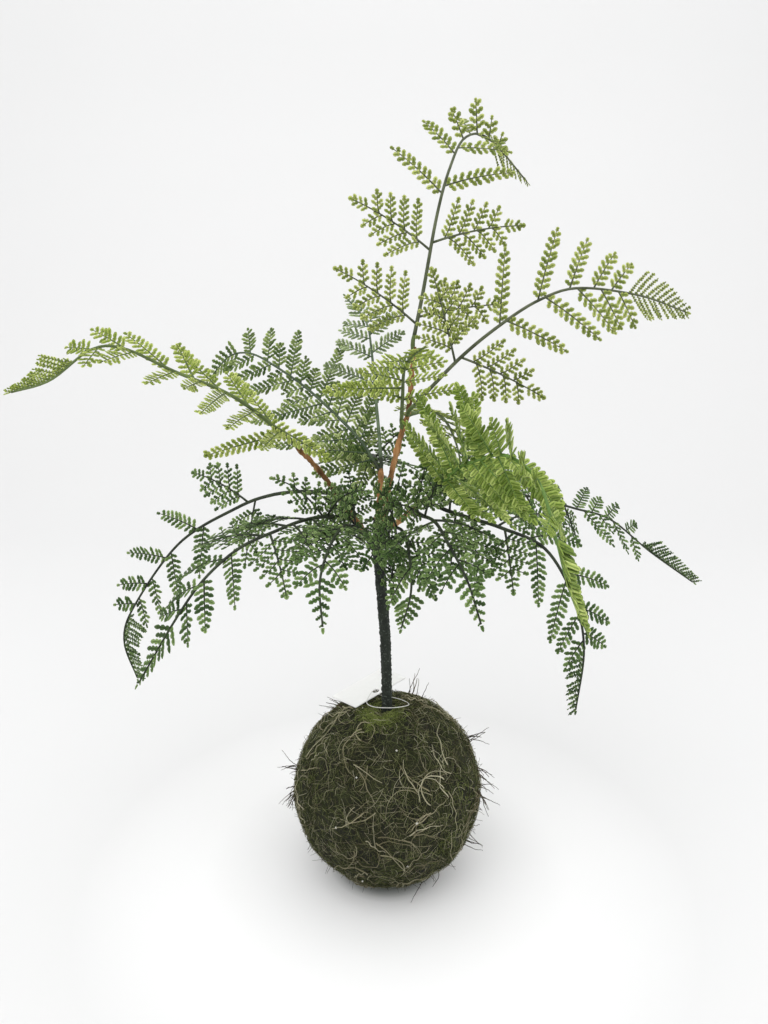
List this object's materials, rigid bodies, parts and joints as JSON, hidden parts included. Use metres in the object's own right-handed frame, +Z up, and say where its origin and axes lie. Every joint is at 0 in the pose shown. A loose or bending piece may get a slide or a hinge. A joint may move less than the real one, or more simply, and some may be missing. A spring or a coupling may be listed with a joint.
{
  "type": "kokedama moss ball plant",
  "caption": "Artificial fern standing in a moss-covered ball: wrapped stem, splayed twigs, arching toothed fronds and a blank hang tag on a loop.",
  "frame": {"origin": "middle of the small flat spot under the moss ball", "axes": "+Z up along the stem, -Y towards the front of the plant, +X to the viewer's right"},
  "size_m": [0.4013, 0.3186, 0.465],
  "materials": {
    "core": "matte foam",
    "moss": "fibrous moss and fine roots",
    "tape": "flocked wrap",
    "twig": "paper-wrapped wire",
    "frond_light": "soft moulded",
    "frond_bright": "soft moulded",
    "frond_dark": "soft moulded",
    "card": "coated card",
    "nylon": "translucent cord"
  },
  "bodies": {
    "root": {"foam_core": "core", "moss_cover": "moss", "stem": "tape", "branch_left": "twig", "branch_tall": "twig", "branch_right": "twig", "branch_back": "twig", "frond_tall": "frond_light", "frond_upper_right": "frond_light", "frond_centre": "frond_light", "frond_behind": "frond_light", "frond_left": "frond_light", "frond_lower_left": "frond_dark", "frond_front_left": "frond_dark", "frond_inner_left": "frond_dark", "frond_back_left": "frond_dark", "frond_back": "frond_dark", "frond_rear": "frond_dark", "frond_front_right": "frond_bright", "frond_lower_right": "frond_dark", "frond_right": "frond_dark", "frond_inner_right": "frond_dark", "frond_front": "frond_dark", "hang_tag": "card", "tag_loop": "nylon"}
  },
  "joints": []
}
